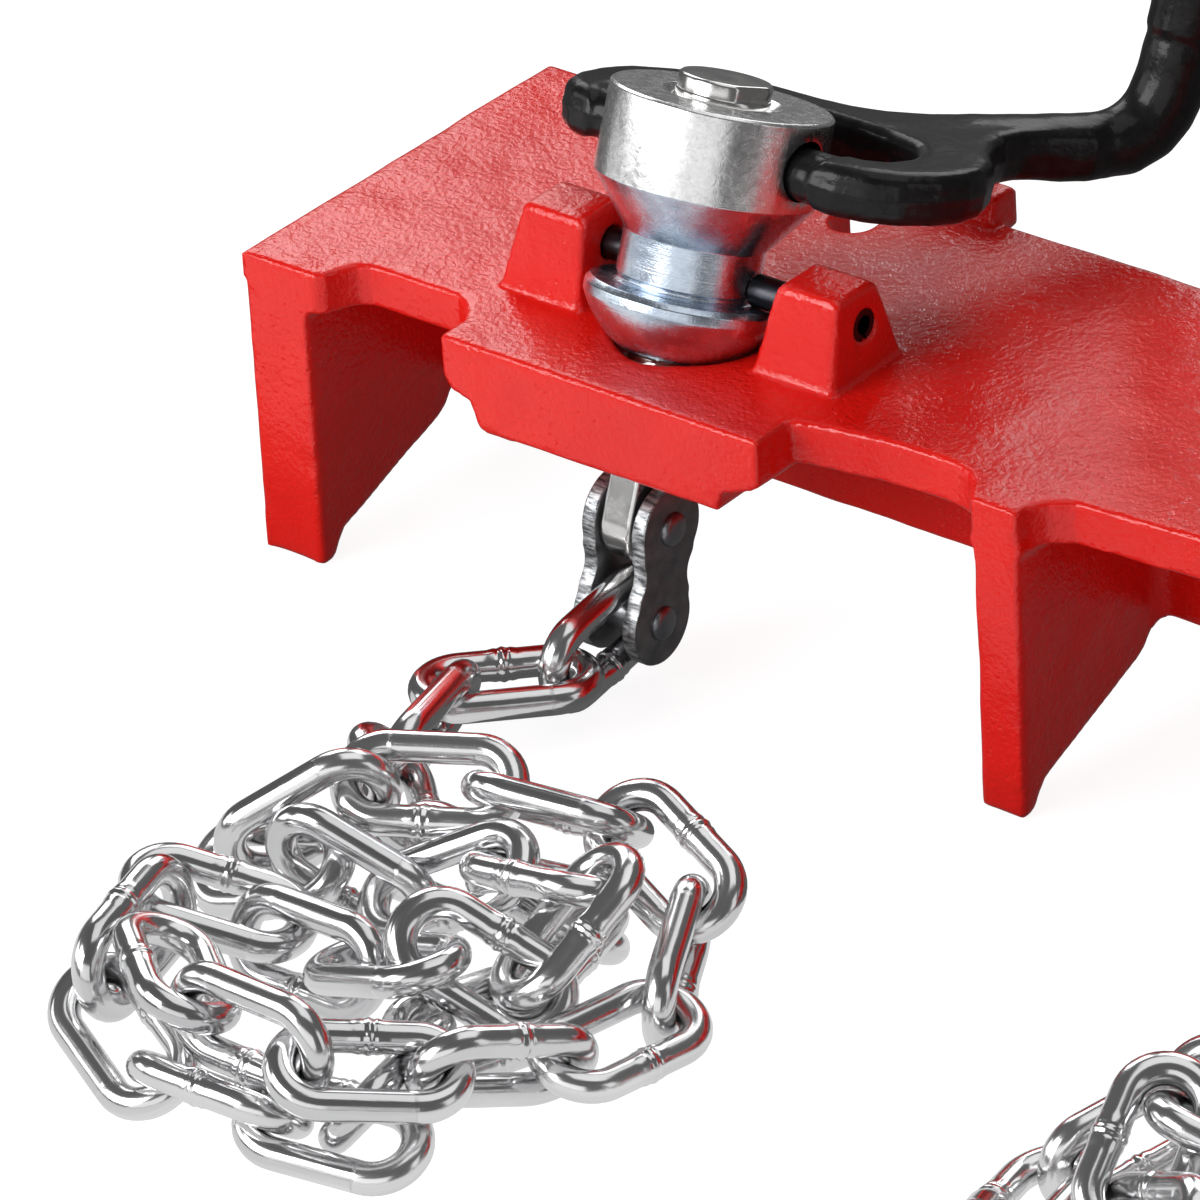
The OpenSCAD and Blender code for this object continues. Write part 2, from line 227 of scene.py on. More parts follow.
def oxide_plate():
    # dark faces, and sheared edges that are brighter and grained across
    m, nt, p = new_material("oxide_plate")
    v = coords(nt)
    g = nt.nodes.new("ShaderNodeNewGeometry")
    s = nt.nodes.new("ShaderNodeSeparateXYZ")
    nt.links.new(g.outputs["True Normal"], s.inputs[0])
    side = maths(nt, "ABSOLUTE", s.outputs["X"])
    edge = ramp(nt, side, [(0.35, 1.0), (0.8, 0.0)])
    grain = noise(nt, coords(nt, (0.35, 1.6, 1.6)), 900, 3, 0.65)
    cloud = noise(nt, v, 240, 3, 0.6)
    face = ramp(nt, cloud, [(0.3, (0.17, 0.172, 0.176)), (0.75, (0.32, 0.323, 0.33))])
    rim = ramp(nt, grain, [(0.38, (0.10, 0.105, 0.115)), (0.62, (0.62, 0.63, 0.64))])
    nt.links.new(mix_col(nt, edge, face, rim), p.inputs["Base Color"])
    p.inputs["Metallic"].default_value = 0.9
    nt.links.new(maths(nt, "ADD", maths(nt, "MULTIPLY", cloud, 0.25), 0.26), p.inputs["Roughness"])
    bump(nt, p, maths(nt, "ADD", grain, maths(nt, "MULTIPLY", cloud, 0.5)), 0.00005, 1.0)
    return m


# the nut leans back; heights along its axis are taken from the ball's centre
NUT_LEAN = TILT
NUT_ZERO = (BALL + SHIFT)[1] * MM * math.sin(TILT) + (BALL + SHIFT)[2] * MM * math.cos(TILT)
RED = red_casting()
NUT = plated_nut()
SCREW = metal("bright_screw_steel", (0.80, 0.79, 0.78), (0.62, 0.61, 0.60), 0.2, 1.0, grain=0.00002, contrast=0.06)
ZINC = metal("zinc_chain", (0.86, 0.86, 0.86), (0.62, 0.62, 0.63), 0.17, 1.0, (0.09, 1.0, 1.0), 0.00004, uv=True, contrast=0.08)
PIN = metal("dark_pin_steel", (0.40, 0.41, 0.43), (0.22, 0.225, 0.24), 0.33, 1.0, grain=0.00004, contrast=0.08)
BLACK_PIN = metal("black_pin_steel", (0.06, 0.06, 0.065), (0.03, 0.03, 0.034), 0.3, 1.0, grain=0.00003, contrast=0.06)
BLACK = black_forging()
PLATE = oxide_plate()


# ------------------------------------------------------------------ mesh tools
def make(name, verts, faces, material, body, uv=None, smooth=True, angle=None):
    """A mesh piece from vertices in mm of the drawing."""
    me = bpy.data.meshes.new(name)
    co = (np.asarray(verts, float) + SHIFT) * MM
    me.from_pydata(co.tolist(), [], [list(map(int, f)) for f in faces])
    me.validate()
    o = bpy.data.objects.new(name, me)
    bpy.context.collection.objects.link(o)
    me.materials.append(material)
    if uv is not None:
        layer = me.uv_layers.new(name="along")
        loops = np.empty(len(me.loops), np.int32)
        me.loops.foreach_get("vertex_index", loops)
        layer.data.foreach_set("uv", np.asarray(uv, np.float32)[loops].ravel())
    if smooth:
        me.shade_smooth()
    if angle:
        me.set_sharp_from_angle(angle=math.radians(angle))
    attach(o, body)
    return o


def apply_modifiers(o):
    bpy.context.view_layer.update()
    dg = bpy.context.evaluated_depsgraph_get()
    me = bpy.data.meshes.new_from_object(o.evaluated_get(dg))
    old = o.data
    o.modifiers.clear()
    o.data = me
    me.name = o.name
    bpy.data.meshes.remove(old)


def lathe(profile, n=128):
    """A closed profile of (radius, height) turned about the height axis."""
    a = np.arange(n) * 2 * math.pi / n
    rings = [np.stack([r * np.cos(a), r * np.sin(a), np.full(n, h)], 1) for r, h in profile]
    verts = np.concatenate(rings)
    faces = []
    k = len(profile)
    for i in range(k):
        j = (i + 1) % k
        for t in range(n):
            u = (t + 1) % n
            faces.append((i * n + t, i * n + u, j * n + u, j * n + t))
    return verts, faces


def rounded(points, radii, steps=5):
    """A polyline with its corners rounded. Ends stay."""
    out = []
    k = len(points)
    for i, p in enumerate(points):
        r = radii[i] if isinstance(radii, (list, tuple)) else radii
        a, b = np.array(points[i - 1], float), np.array(points[(i + 1) % k], float)
        p = np.array(p, float)
        da, db = a - p, b - p
        la, lb = np.linalg.norm(da), np.linalg.norm(db)
        if r <= 0 or la < 1e-6 or lb < 1e-6:
            out.append(p)
            continue
        da, db = da / la, db / lb
        half = math.acos(max(-1, min(1, float(da @ db)))) / 2
        t = min(r / max(math.tan(half), 1e-3), la * 0.49, lb * 0.49)
        s, e = p + da * t, p + db * t
        for q in range(steps + 1):
            w = q / steps
            out.append((1 - w) ** 2 * s + 2 * w * (1 - w) * p + w ** 2 * e)
    return out


def poly_distance(px, py, P):
    """Signed distance from grid points to a closed outline, negative inside."""
    P = np.asarray(P, float)
    d = np.full(px.shape, 1e9)
    inside = np.zeros(px.shape, bool)
    k = len(P)
    for i in range(k):
        a, b = P[i], P[(i + 1) % k]
        e = b - a
        L = float(e @ e)
        if L < 1e-12:
            continue
        wx, wy = px - a[0], py - a[1]
        t = np.clip((wx * e[0] + wy * e[1]) / L, 0, 1)
        d = np.minimum(d, (wx - t * e[0]) ** 2 + (wy - t * e[1]) ** 2)
        c = (a[1] > py) != (b[1] > py)
        if a[1] != b[1]:
            inside ^= c & (px < (b[0] - a[0]) * (py - a[1]) / (b[1] - a[1]) + a[0])
    d = np.sqrt(d)
    return np.where(inside, -d, d).astype(np.float32)


def extrude(d2, t, r=0.0):
    """The solid where both distances are negative, its edges rounded by r."""
    a, b = d2 + r, t + r
    return np.minimum(np.maximum(a, b), 0) + np.hypot(np.maximum(a, 0), np.maximum(b, 0)) - r


def join(a, b, k):
    h = np.clip(0.5 + 0.5 * (b - a) / k, 0, 1)
    return b + (a - b) * h - k * h * (1 - h)


def cut(a, b, k):
    return -join(-a, b, k)


def surface(f, origin, h):
    """A mesh of the zero surface of a grid of distances, one vertex to a cell."""
    inside = f < 0
    nx, ny, nz = f.shape
    s = np.zeros((nx - 1, ny - 1, nz - 1), np.int8)
    for i in (0, 1):
        for j in (0, 1):
            for k in (0, 1):
                s += inside[i:nx - 1 + i, j:ny - 1 + j, k:nz - 1 + k]
    active = (s > 0) & (s < 8)
    idx = np.full(active.shape, -1, np.int64)
    n = int(active.sum())
    idx[active] = np.arange(n)
    c = np.stack(np.nonzero(active), 1)
    acc, cnt = np.zeros((n, 3)), np.zeros(n)
    for axis in range(3):
        o1, o2 = [q for q in range(3) if q != axis]
        for u in (0, 1):
            for w in (0, 1):
                a = np.zeros(3, int)
                a[o1], a[o2] = u, w
                b = a.copy()
                b[axis] = 1
                pa, pb = c + a, c + b
                fa, fb = f[pa[:, 0], pa[:, 1], pa[:, 2]].astype(float), f[pb[:, 0], pb[:, 1], pb[:, 2]].astype(float)
                x = (fa < 0) != (fb < 0)
                t = fa[x] / (fa[x] - fb[x])
                p = np.tile(a.astype(float), (len(t), 1))
                p[:, axis] += t
                acc[x] += p
                cnt[x] += 1
    verts = (acc / cnt[:, None] + c) * h + np.asarray(origin)
    faces = []
    for axis in range(3):
        o1, o2 = [(1, 2), (2, 0), (0, 1)][axis]
        sl_a = [slice(1, -1)] * 3
        sl_a[axis] = slice(0, f.shape[axis] - 1)
        sl_b = list(sl_a)
        sl_b[axis] = slice(1, f.shape[axis])
        A, B = inside[tuple(sl_a)], inside[tuple(sl_b)]
        g = np.stack(np.nonzero(A != B), 1)
        sign = A[g[:, 0], g[:, 1], g[:, 2]]
        g = g + 1
        g[:, axis] -= 1
        q = []
        for d1, d2 in ((-1, -1), (0, -1), (0, 0), (-1, 0)):
            v = g.copy()
            v[:, o1] += d1
            v[:, o2] += d2
            q.append(idx[v[:, 0], v[:, 1], v[:, 2]])
        q = np.stack(q, 1)
        q[~sign] = q[~sign][:, ::-1]
        faces.append(q)
    return verts, np.concatenate(faces)


def mesh_from_grid(name, verts, faces, material, body, keep=1.0, replaces=()):
    me = bpy.data.meshes.new(name)
    co = ((verts + SHIFT) * MM).astype(np.float32)
    me.vertices.add(len(co))
    me.vertices.foreach_set("co", co.ravel())
    me.loops.add(len(faces) * 4)
    me.loops.foreach_set("vertex_index", faces.astype(np.int32).ravel())
    me.polygons.add(len(faces))
    me.polygons.foreach_set("loop_start", np.arange(0, len(faces) * 4, 4, dtype=np.int32))
    me.update(calc_edges=True)
    me.validate()
    o = bpy.data.objects.new(name, me)
    bpy.context.collection.objects.link(o)
    me.materials.append(material)
    if keep < 1:
        d = o.modifiers.new("thin", "DECIMATE")
        d.ratio = keep
        apply_modifiers(o)
    o.data.shade_smooth()
    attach(o, body)
    if replaces:
        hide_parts(*replaces)
    return o


def grid(lo, hi, h):
    axes = [np.arange(a, b + h, h, dtype=np.float32) for a, b in zip(lo, hi)]
    return axes


# ------------------------------------------------------------------ casting
def value_noise(shape_axes, cell, seed):
    """Smooth noise over a grid from -1 to 1, by blending random corner values."""
    rng = np.random.default_rng(seed)
    idx, frac = [], []
    for ax in shape_axes:
        q = (ax - ax[0]) / cell
        i = np.floor(q).astype(int)
        w = q - i
        idx.append(i)
        frac.append((w * w * (3 - 2 * w)).astype(np.float32))
    n = [i.max() + 2 for i in idx]
    g = rng.uniform(-1, 1, n).astype(np.float32)
    a = g[idx[0]] * (1 - frac[0])[:, None, None] + g[idx[0] + 1] * frac[0][:, None, None]
    a = a[:, idx[1]] * (1 - frac[1])[None, :, None] + a[:, idx[1] + 1] * frac[1][None, :, None]
    return a[:, :, idx[2]] * (1 - frac[2]) + a[:, :, idx[2] + 1] * frac[2]


def casting():
    h = 0.8
    mid = 220.0
    n = int(math.ceil(223 / h))
    X = (mid - (n - np.arange(n + 1)) * h).astype(np.float32)
    Y = np.arange(-8, 97 + h, h, dtype=np.float32)
    Z = np.arange(-67, 22, h, dtype=np.float32)
    x3, y3, z3 = X[:, None, None], Y[None, :, None], Z[None, None, :]
    gx, gy = np.meshgrid(X, Y, indexing="ij")
    gy2, gz2 = np.meshgrid(Y, Z, indexing="ij")
    gx3, gz3 = np.meshgrid(X, Z, indexing="ij")
    rec, far, w1 = 9.0, 88.3, 182.3
    outline = ([(0, 0), (17.5, 0), (19.4, 1.4), (20.6, 4.6), (22.2, 7.6), (24.5, 8.8),
                (28, rec), (46, rec), (49, 7.3), (51.5, 4.8), (53, 2.5),
                (53, 0.2), (127.8, 0.2), (127.8, 4.4), (131.5, 5.6), (136, 6.6), (146, 8.3), (158, rec),
                (163, 8.8), (166.5, 7.6), (169, 5.6), (171, 2), (172.5, 0),
                (w1, 0), (w1 + 0.4, 3), (w1 + 2.4, 6.2), (w1 + 6.7, rec), (215, 10.8), (240, 10.9),
                (240, far), (w1 + 8, far), (w1 + 4, far + 1.6), (w1 + 1.5, 94), (171, 94),
                (168.5, far + 1.6), (164.5, far), (118, far), (115, far), (113.5, 93), (111, 94),
                (69.5, 94), (67, 93), (65.5, far), (62.5, far),
                (24, far), (20, far + 1.6), (17, 94), (0, 94)])
    plate = extrude(poly_distance(gx, gy, outline)[:, :, None], np.abs(z3 + 4.5) - 4.5, 0.7)
    half = [(0, 0), (0, -65), (3, -65), (4.4, -64.2), (5.6, -62), (7.4, -59.8), (37, -49), (39.5, -47.4), (41, -45.2), (45.2, -39.2), (47, -38)]
    web = half + [(94 - y, z) for y, z in half[-2::-1]]
    dw = poly_distance(gy2, gz2, web)[None, :, :]
    # fillets under the plate only, so the faces that run through stay flat
    under = 0.15 + 2.6 * np.clip((-7.0 - z3) / 1.5, 0, 1)
    f = join(plate, extrude(dw, np.abs(x3 - 7.5) - 7.5, 0.7), under)
    f = join(f, extrude(dw, np.abs(x3 - 177.4) - 4.9, 0.7), under)
    rib = extrude(np.maximum(np.abs(gy2 - 47) - 4, np.abs(gz2 + 23) - 19)[None].astype(np.float32), np.abs(x3 - 225) - 214, 0.7)
    f = join(f, rib, 4.0)
    f = np.maximum(np.maximum(np.maximum(f, z3), np.maximum(-y3, y3 - 94)), -x3)
    boss2 = poly_distance(gx3, gz3, [(53, 2), (53, 0), (53.2, -9), (55.1, -11.4), (59.2, -12.3), (60.4, -15.2), (61, -17.2), (62.6, -18.2),
                                     (118, -17.6), (118.8, -13.8), (125.5, -11.4), (127.8, -9.8), (127.8, 0), (127.8, 2)])[:, None, :]
    boss = extrude(np.maximum(boss2, z3 - 0.0), np.abs(y3 - 20.35) - 25.65, 0.7)
    f = join(f, boss, 0.15 + 1.6 * np.clip((-1.2 - z3) / 1.0, 0, 1))
    f = np.maximum(f, z3)
    # raised horns of the chain hook, joined to the plate by a small fillet
    horn2 = poly_distance(gy2, gz2, [(80, -3), (84.6, -3), (84.6, 0), (86.2, 5.2), (87.4, 5.9), (92.4, 5.9), (94, 4.6), (94, -3.3), (80, -3.3)])[None]
    horns = extrude(horn2, np.abs(x3 - 90) - 25, 1.1)
    f = join(f, horns, 1.8)
    f = np.maximum(f, y3 - 94)
    lug_side = poly_distance(gy2, gz2, [(15.5, -3), (15.6, 0), (18.6, 17.1), (19.6, 18.3), (29.6, 18.3), (31.4, 16.5), (37.4, 0), (37.5, -3)])[None]
    for front in ([(50.2, -3), (50.4, 0), (54.7, 17), (56.2, 18.3), (68.6, 18.3), (69.7, 16.9), (69.8, -3)],
                  [(110.4, -3), (110.6, 0), (114.7, 16.9), (116, 18.3), (127.8, 18.3), (129.2, 17), (129.6, 0), (129.6, -3)]):
        f = join(f, extrude(lug_side, poly_distance(gx3, gz3, front)[:, None, :], 1.0), 1.2)
    # poured faces are never quite flat
    soft = 0.16 * value_noise((X, Y, Z), 11.0, 3) + 0.07 * value_noise((X, Y, Z), 4.0, 5)
    f = f + soft * np.clip((-z3 + 30) / 30, 0.4, 1)
    # paint runs down the lugs' faces
    runs = 0.16 * value_noise((X, Y, Z * 0.18), 1.7, 9)
    f = f - runs * np.clip((z3 - 0.5) / 2, 0, 1) * np.clip((17.2 - z3) / 2, 0, 1) * (y3 < 40)
    # seat, screw slot, pin holes, hook slot and the relief below the horns
    ball = np.sqrt((x3 - 90.25) ** 2 + (y3 - 25.4) ** 2 + (z3 - 13.2) ** 2) - 21.5
    f = cut(f, np.maximum(ball, z3 - 0.5), 0.5)
    f = cut(f, np.maximum(np.hypot(x3 - 90.25, y3 - 24.7) - 11.0, z3 - 0.5), 0.6)
    st, ct = math.sin(TILT), math.cos(TILT)
    along = (y3 - 29.2) * st + (z3 - 24.2) * ct
    hole = np.hypot(x3 - 90.25, (y3 - 29.2) * ct - (z3 - 24.2) * st)
    f = cut(f, np.maximum(hole - 10.6, along + 26), 0.6)
    f = cut(f, np.maximum(hole - 11.8, along + 33.2), 0.6)
    hole = np.hypot(y3 - 26.7, z3 - 10.1) - 3.175
    f = cut(f, np.maximum(hole, np.maximum(x3 - 76, 40 - x3)), 0.5)
    f = cut(f, np.maximum(hole, np.maximum(x3 - 141, 105 - x3)), 0.5)
    hook = np.hypot(x3 - 90.25, y3 - np.maximum(y3, 74.1)) - 4.6
    f = cut(f, hook + 0 * z3, 1.4)
    relief = np.maximum(np.maximum(np.abs(x3 - 90) - 26, 80 - y3), z3 + 3.3)
    f = cut(f, relief, 1.2)
    f = np.concatenate([f, f[-2::-1]], 0).astype(np.float32)
    verts, faces = surface(f, (X[0], Y[0], Z[0]), h)
    mesh_from_grid("casting", verts, faces, RED, "frame", keep=0.3, replaces=("frame_casting",))


casting()


# ------------------------------------------------------------------ nut, screw
def on_axis(v):
    return np.asarray(v) @ rot_x(-TILT).T + BALL


def swivel_nut(side, dx):
    ball = [(math.sqrt(20.7 ** 2 - (z + 12) ** 2), z) for z in -12 - 20.7 * np.cos(np.linspace(math.acos(17.6 / 20.7), math.acos(8.5 / 20.7), 14))]
    pts = [(10.05, -29.2), (10.3, -29.6)] + ball
    prof = [np.array(p, float) for p in pts]
    prof += rounded([(18.93, -20.3), (18.95, -19.9), (18.95, -18.5), (18.0, -17.35), (14.2, -17.2), (13.15, -16.7), (13.15, -16.15), (13.6, -15.7), (13.6, -7.5),
                     (21.3, 2.5), (21.3, 19.0), (20.7, 19.5), (11.5, 19.5), (10.05, 18.0)],
                    [0, 0.4, 0.5, 0.5, 0.2, 0.3, 0.3, 0.2, 0.5, 0.35, 0.5, 0.4, 0.25, 0.2], 4)
    v, f = lathe(prof, 160)
    o = make(side + "_nut_turned", on_axis(v) + [dx, 0, 0], f, NUT, side + "_nut")
    # cross holes for the handle's pegs
    bm = bmesh.new()
    for s in (-1, 1):
        bmesh.ops.create_cone(bm, cap_ends=True, segments=64, radius1=5.85 * MM, radius2=5.85 * MM, depth=14 * MM,
                              matrix=Matrix.Translation((s * 16 * MM, 0, 10.6 * MM)) @ Matrix.Rotation(math.pi / 2, 4, "Y"))
    me = bpy.data.meshes.new("drill")
    bm.to_mesh(me)
    bm.free()
    me.transform(Matrix.Translation(Vector((BALL + SHIFT + [dx, 0, 0]) * MM)) @ Matrix.Rotation(-TILT, 4, "X"))
    drill = bpy.data.objects.new("drill", me)
    bpy.context.collection.objects.link(drill)
    b = o.modifiers.new("drill", "BOOLEAN")
    b.operation, b.solver, b.object = "DIFFERENCE", "EXACT", drill
    w = o.modifiers.new("edge", "BEVEL")
    w.width, w.segments, w.limit_method, w.angle_limit = 0.35 * MM, 2, "ANGLE", math.radians(50)
    apply_modifiers(o)
    bpy.data.objects.remove(drill)
    o.data.shade_smooth()
    o.data.set_sharp_from_angle(angle=math.radians(38))
    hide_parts(side + "_swivel_nut")


def clamp_screw(side, dx):
    n, lead = 96, 4.0
    z = np.concatenate([np.arange(-46, 18.4, 0.36), [18.4, 18.7, 19.0]])
    a = np.arange(n) * 2 * math.pi / n
    A, Zg = np.meshgrid(a, z)
    ph = ((Zg / lead - A / (2 * math.pi)) % 1.0)
    tri = np.abs(ph - 0.5) * 2
    r = 8.35 + 1.65 * np.clip((tri - 0.28) / 0.42, 0, 1)
    r = np.minimum(r, 8.9 + np.clip(19.3 - Zg, 0, 9))
    r = np.where(Zg < -44, np.minimum(r, 8.6 + (Zg + 46) * 0.6), r)
    rows = [np.stack([r[i] * np.cos(a), r[i] * np.sin(a), np.full(n, z[i])], 1) for i in range(len(z))]
    # the bright stub on top, with a flat on one side and a low step round it
    flat = lambda rr, d: np.minimum(rr, d / np.clip(np.cos(a - math.radians(-15)), 1e-3, None) * np.where(np.cos(a - math.radians(-15)) > 0, 1, 1e9))
    for rr, zz, d in ((9.1, 19.05, 99), (9.1, 19.9, 99), (8.95, 20.2, 8.9), (8.9, 20.25, 8.1), (8.9, 22.6, 8.1), (8.8, 22.95, 8.0), (8.45, 23.25, 7.7), (8.1, 23.3, 7.4)):
        q = flat(np.full(n, rr), d)
        rows.append(np.stack([q * np.cos(a), q * np.sin(a), np.full(n, zz)], 1))
    v = np.concatenate(rows)
    k = len(rows)
    f = [(i * n + t, i * n + (t + 1) % n, (i + 1) * n + (t + 1) % n, (i + 1) * n + t) for i in range(k - 1) for t in range(n)]
    v = np.concatenate([v, [[0, 0, 23.3]], [[0, 0, -46]]])
    f += [((k - 1) * n + t, (k - 1) * n + (t + 1) % n, k * n) for t in range(n)]
    f += [((t + 1) % n, t, k * n + 1) for t in range(n)]
    o = make(side + "_screw_threaded", on_axis(v) + [dx, 0, 0], f, SCREW, side + "_screw", angle=40)
    # flat tongue with a round eye, hung from the thread's shoulder
    h = 0.35
    X = np.arange(-5, 5 + h, h, dtype=np.float32)
    Y = np.arange(-11.5, 11.5 + h, h, dtype=np.float32)
    Zg = np.arange(-71, -43, h, dtype=np.float32)
    x3, y3, z3 = X[:, None, None], Y[None, :, None], Zg[None, None, :]
    body = np.maximum(np.abs(y3) - 8, np.maximum(-61.9 - z3, z3 + 44.6))
    eye = np.hypot(y3, z3 + 61.9) - 8
    t = extrude(np.minimum(body, eye) + 0 * x3, np.abs(x3) - 3.5, 0.7)
    t = np.maximum(t, np.hypot(x3, y3) - 9.0)
    t = cut(t, np.hypot(y3, z3 + 61.9) - 3.45 + 0 * x3, 0.5)
    v, f = surface(t.astype(np.float32), (X[0], Y[0], Zg[0]), h)
    mesh_from_grid(side + "_screw_tongue", on_axis(v) + [dx, 0, 0], f, SCREW, side + "_screw", keep=0.5)
    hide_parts(side + "_clamp_screw")


# ------------------------------------------------------------------ handle
PEG = BALL + 10.6 * np.array([0, math.sin(TILT), math.cos(TILT)]) - [0, 0, 0.6]
SLOPE = math.radians(15)
EYE_OUT = [(-26, -5.15), (-31, -4.2), (-35, -1.2), (-37, 4), (-36.6, 10), (-34, 17), (-28.5, 23.5), (-20.5, 28.8),
           (-11, 31.8), (0, 32.8), (6, 34.3), (12, 37.5), (17, 42.5), (21, 48.5), (26.5, 58), (31.5, 66.4),
           (35, 69.0), (40, 67.6), (43.4, 64.2), (44, 62), (38.8, 53.5), (36.6, 48), (36, 43), (37.5, 37.5), (41, 31.5), (45, 26.5), (47.8, 20), (48.2, 14),
           (46.5, 7.5), (42.5, 1.5), (37, -2.8), (31, -4.7), (26, -5.15)]
EYE_IN = [(26, 5.15), (30, 5.6), (33, 8.2), (34.2, 13), (33, 18), (29.4, 22.2), (22, 24.2), (10, 24.2), (0, 23.8),
          (-6, 23), (-12, 20.6), (-18, 16.2), (-23, 10.8), (-25.6, 7), (-26, 5.15)]


def crank_handle(side, dx):
    h = 0.75
    X = np.arange(-40, 72, h, dtype=np.float32)
    Y = np.arange(-8, 104, h, dtype=np.float32)
    Z = np.arange(-8, 125, h, dtype=np.float32)
    x3, y3, z3 = X[:, None, None], Y[None, :, None], Z[None, None, :]
    gx, gy = np.meshgrid(X, Y, indexing="ij")
    low = Z < 34
    zl = z3[:, :, low]
    out = [tuple(p) for p in rounded(EYE_OUT + EYE_IN, [0] + [2.0] * (len(EYE_OUT) - 2) + [0, 0] + [2.0] * (len(EYE_IN) - 2) + [0], 3)]
    d2 = poly_distance(gx, gy, out)[:, :, None]
    wav = 0.25 * value_noise((X, Y, Z[low]), 7.0, 11)
    f = extrude(d2, np.abs(zl) - 5.15, 2.9) + wav * 0.5
    # the seam left by the dies, a low ridge round the outline at mid height
    seam = np.exp(-((zl - 0.6 * np.sin(gx[:, :, None] * 0.7) * np.clip(gy[:, :, None] / 20, 0, 1)) / 0.7) ** 2)
    f = f - 0.35 * seam
    for s in (-1, 1):
        peg = extrude(np.hypot(y3, zl) - 5.05, np.abs(x3 - s * 19.1) - 8.0, 1.2)
        f = join(f, peg, 1.5)
    # the round arm over the flat one, thinning towards the riser
    arm = [(26.5, 47.5, -0.3, 4.9), (35.5, 61.0, -0.3, 5.6), (39.4, 67.2, 0.1, 6.0), (42.6, 72.6, 1.5, 6.2), (44.6, 76.4, 4.2, 6.35), (45.9, 78.6, 8.0, 6.45),
           (46.7, 79.6, 12.5, 6.55), (47.4, 80.1, 18.5, 6.6), (48.45, 81.2, 34, 6.6)]
    full = np.full((len(X), len(Y), len(Z)), 1e3, np.float32)
    full[:, :, low] = f
    full[:, :, ~low] = np.maximum(d2, z3[:, :, ~low] - 5)
    tube = None
    for (ax, ay, az, ar), (bx, by, bz, br) in zip(arm[:-1], arm[1:]):
        e = np.array([bx - ax, by - ay, bz - az])
        L = float(e @ e)
        t = np.clip(((x3 - ax) * e[0] + (y3 - ay) * e[1] + (z3 - az) * e[2]) / L, 0, 1)
        d = np.sqrt((x3 - ax - t * e[0]) ** 2 + (y3 - ay - t * e[1]) ** 2 + (z3 - az - t * e[2]) ** 2) - (ar + (br - ar) * t)
        tube = d if tube is None else join(tube, d, 2.0)
    tube = np.maximum(tube, np.abs(z3) * 0 - z3 - 5.15)
    full = join(full, tube.astype(np.float32), 2.5)
    # turned grip on the leaning riser
    lean = Matrix.Rotation(math.radians(3.5), 3, "Y") @ Matrix.Identity(3)
    R = rot_x(math.radians(-6.09)) @ np.array(lean)
    px, py, pz = x3 - 46.4, y3 - 77.6, z3
    lx = R[0, 0] * px + R[1, 0] * py + R[2, 0] * pz
    ly = R[0, 1] * px + R[1, 1] * py + R[2, 1] * pz
    lz = R[0, 2] * px + R[1, 2] * py + R[2, 2] * pz
    prof = np.array([(27, 6.6), (32, 7.4), (36.4, 9.4), (40, 11.6), (45, 12.6), (60, 12.8), (80, 12.4), (100, 11.6), (110, 10.6), (116.5, 8.6), (120.8, 5.2), (122, 0.6)])
    rr = np.interp(lz, prof[:, 0], prof[:, 1]).astype(np.float32)
    g = np.maximum(np.hypot(lx, ly) - rr, np.abs(lz - 73) - 49)
    full = join(full, g.astype(np.float32), 3.0)
    v, q = surface(full, (X[0], Y[0], Z[0]), h)
    v = v @ rot_x(-SLOPE).T + PEG + [dx, 0, 0]
    mesh_from_grid(side + "_handle_forged", v, q, BLACK, side + "_handle", keep=0.4, replaces=(side + "_crank_handle",))


# ------------------------------------------------------------------ shackle
EYE = BALL + [0, -61.9 * math.sin(TILT), -61.9 * math.cos(TILT)]
HANG = math.radians(13)


def on_shackle(v):
    return np.asarray(v) @ rot_x(math.pi - HANG).T + EYE


